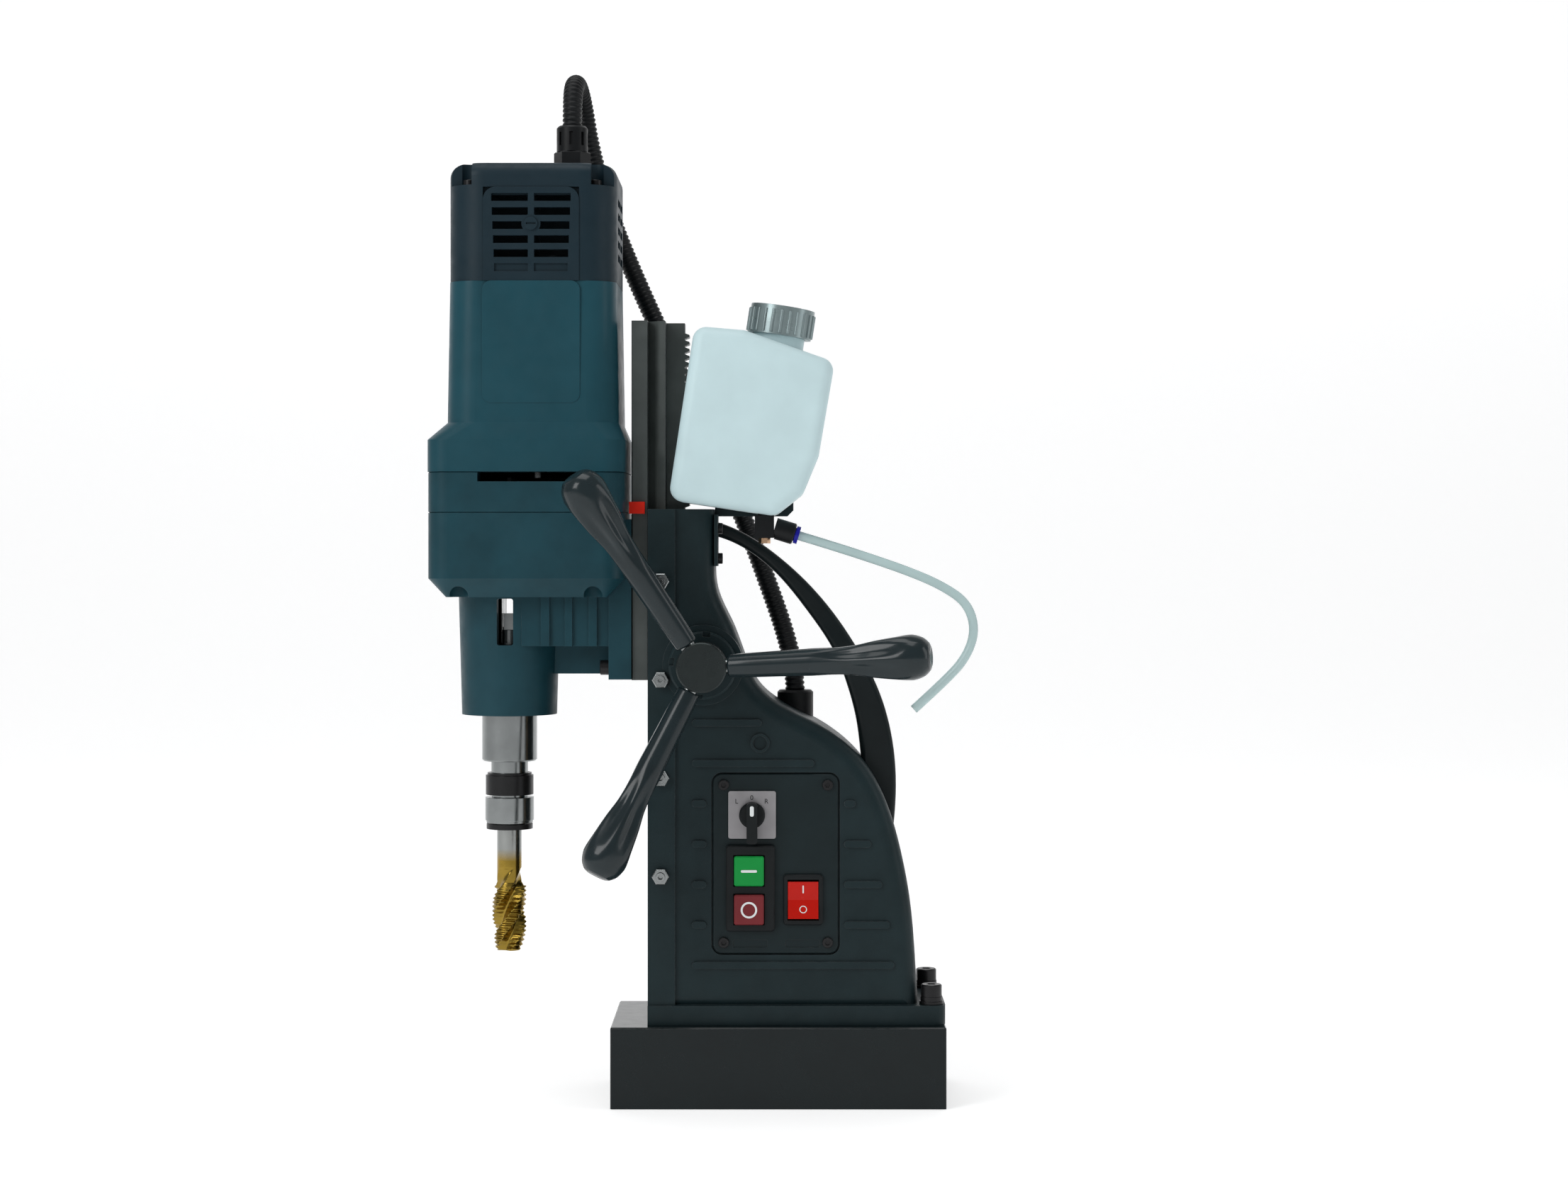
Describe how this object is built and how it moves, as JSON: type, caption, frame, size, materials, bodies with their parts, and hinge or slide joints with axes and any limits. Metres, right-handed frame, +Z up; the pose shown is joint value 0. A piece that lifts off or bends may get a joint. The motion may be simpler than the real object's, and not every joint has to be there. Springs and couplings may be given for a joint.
{
  "type": "magnetic drill press",
  "caption": "Portable drilling and tapping press on an electromagnet base, with a hand-fed dovetail slide, coolant tank and control panel.",
  "frame": {"origin": "centre of the magnet's working face", "axes": "+Z up away from the magnet face, -X towards the spindle, -Y towards the control panel and levers"},
  "size_m": [0.3616, 0.1909, 0.6909],
  "materials": {
    "magnet_black": "gloss",
    "casting_charcoal": "satin, fine cast texture",
    "gearbox_teal": "satin paint",
    "panel_paint": "satin",
    "housing_teal": "satin moulded",
    "cover_black": "fine matte",
    "slide_steel": "ground, oiled",
    "black_oxide": "black oxide",
    "bright_steel": "machined",
    "hub_steel": "turned, dark",
    "tap_gold": "titanium nitride",
    "grip_black": "satin moulded",
    "handle_black": "satin",
    "fitting_black": "moulded",
    "tank_white": "translucent",
    "cap_grey": "satin",
    "hose_clear": "translucent",
    "collar_blue": "gloss",
    "plug_brass": "bright",
    "clip_red": "gloss",
    "start_green": "satin",
    "stop_red": "satin",
    "rocker_red": "gloss",
    "selector_silver": "satin",
    "switch_black": "satin",
    "copper_winding": "enamelled",
    "epoxy": "cast",
    "gib_bronze": "machined",
    "board_green": "coated"
  },
  "bodies": {
    "frame": {"magnet_base": "magnet_black", "magnet_coil": "copper_winding", "coil_potting": "epoxy", "stand_casting": "casting_charcoal", "frame_screws": "black_oxide", "base_washers": "black_oxide", "gib_strip": "gib_bronze", "gib_screws": "bright_steel", "pinion_bushes": "gib_bronze", "bearing_flange": "casting_charcoal", "control_panel": "panel_paint", "selector_plate": "selector_silver", "switch_bodies": "switch_black", "button_frame": "switch_black", "rocker_bezel": "switch_black", "control_board": "board_green", "mains_gland": "fitting_black", "carry_handle": "handle_black", "tank_bracket": "casting_charcoal", "coolant_tank": "tank_white", "tank_elbow": "fitting_black", "elbow_plug": "plug_brass", "hose_sleeve": "fitting_black", "release_collar": "collar_blue", "coolant_hose": "hose_clear", "conduit_boot": "fitting_black", "conduit": "fitting_black"},
    "carriage": {"slide_plate": "slide_steel", "feed_rack": "slide_steel", "red_stop_clip": "clip_red", "gearbox_casting": "gearbox_teal", "gearbox_cover": "gearbox_teal", "head_screws": "black_oxide", "spindle_bearings": "bright_steel", "shaft_bearings": "bright_steel", "motor_housing": "housing_teal", "motor_stator": "copper_winding", "vent_cover": "cover_black", "vent_grilles": "cover_black", "conduit_gland": "fitting_black"},
    "feed_hub": {"pinion_shaft": "black_oxide", "lever_hub": "hub_steel", "lever_rods": "bright_steel", "lever_grips": "grip_black"},
    "spindle_group": {"spindle": "bright_steel", "spindle_gear": "black_oxide", "chuck_arbor": "bright_steel", "chuck_collars": "black_oxide", "tap": "tap_gold"},
    "chuck_sleeve": {"chuck_sleeve": "bright_steel"},
    "layshaft": {"layshaft": "black_oxide"},
    "armature": {"armature": "bright_steel", "armature_pinion": "black_oxide", "cooling_fan": "fitting_black"},
    "selector": {"selector_knob": "switch_black"},
    "start_button": {"start_button": "start_green"},
    "stop_button": {"stop_button": "stop_red"},
    "rocker": {"rocker_switch": "rocker_red"},
    "tank_cap": {"tank_cap": "cap_grey"}
  },
  "joints": [
    {"name": "feed_slide", "type": "slide", "parent": "frame", "child": "carriage", "axis": [0, 0, -1], "range_m": [0, 0.205], "deforming": ["conduit"]},
    {"name": "feed_lever", "type": "hinge", "parent": "frame", "child": "feed_hub", "pos_m": [-0.04965, 0, 0.2899], "axis": [0, -1, 0], "range_deg": [0, 1050]},
    {"name": "spindle_spin", "type": "hinge", "parent": "carriage", "child": "spindle_group", "pos_m": [-0.1808, 0, 0.3], "axis": [0, 0, 1], "continuous": true},
    {"name": "layshaft_spin", "type": "hinge", "parent": "carriage", "child": "layshaft", "pos_m": [-0.15187, 0.02834, 0.37], "axis": [0, 0, 1], "continuous": true},
    {"name": "armature_spin", "type": "hinge", "parent": "carriage", "child": "armature", "pos_m": [-0.1617, 0, 0.48], "axis": [0, 0, 1], "continuous": true},
    {"name": "chuck_release", "type": "slide", "parent": "spindle_group", "child": "chuck_sleeve", "axis": [0, 0, 1], "range_m": [0, 0.0012], "stiffness_N_per_m": 900, "springref_m": -0.002},
    {"name": "selector_turn", "type": "hinge", "parent": "frame", "child": "selector", "pos_m": [-0.0173, -0.045, 0.1913], "axis": [0, 1, 0], "range_deg": [-45, 45]},
    {"name": "start_press", "type": "slide", "parent": "frame", "child": "start_button", "axis": [0, 1, 0], "range_m": [0, 0.003], "stiffness_N_per_m": 600, "springref_m": -0.002},
    {"name": "stop_press", "type": "slide", "parent": "frame", "child": "stop_button", "axis": [0, 1, 0], "range_m": [0, 0.003], "stiffness_N_per_m": 600, "springref_m": -0.002},
    {"name": "mains_rocker", "type": "hinge", "parent": "frame", "child": "rocker", "pos_m": [0.0163, -0.041, 0.1354], "axis": [1, 0, 0], "range_deg": [0, 20]},
    {"name": "cap_lift", "type": "slide", "parent": "frame", "child": "tank_cap", "axis": [0.1495, 0, 0.9888], "range_m": [0, 0.03]}
  ],
  "couplings": [
    {"joint": "feed_lever", "follows": "feed_slide", "rad_per_m": 88.889},
    {"joint": "layshaft_spin", "follows": "spindle_spin", "ratio": -2.8571},
    {"joint": "armature_spin", "follows": "spindle_spin", "ratio": 6.6667}
  ]
}
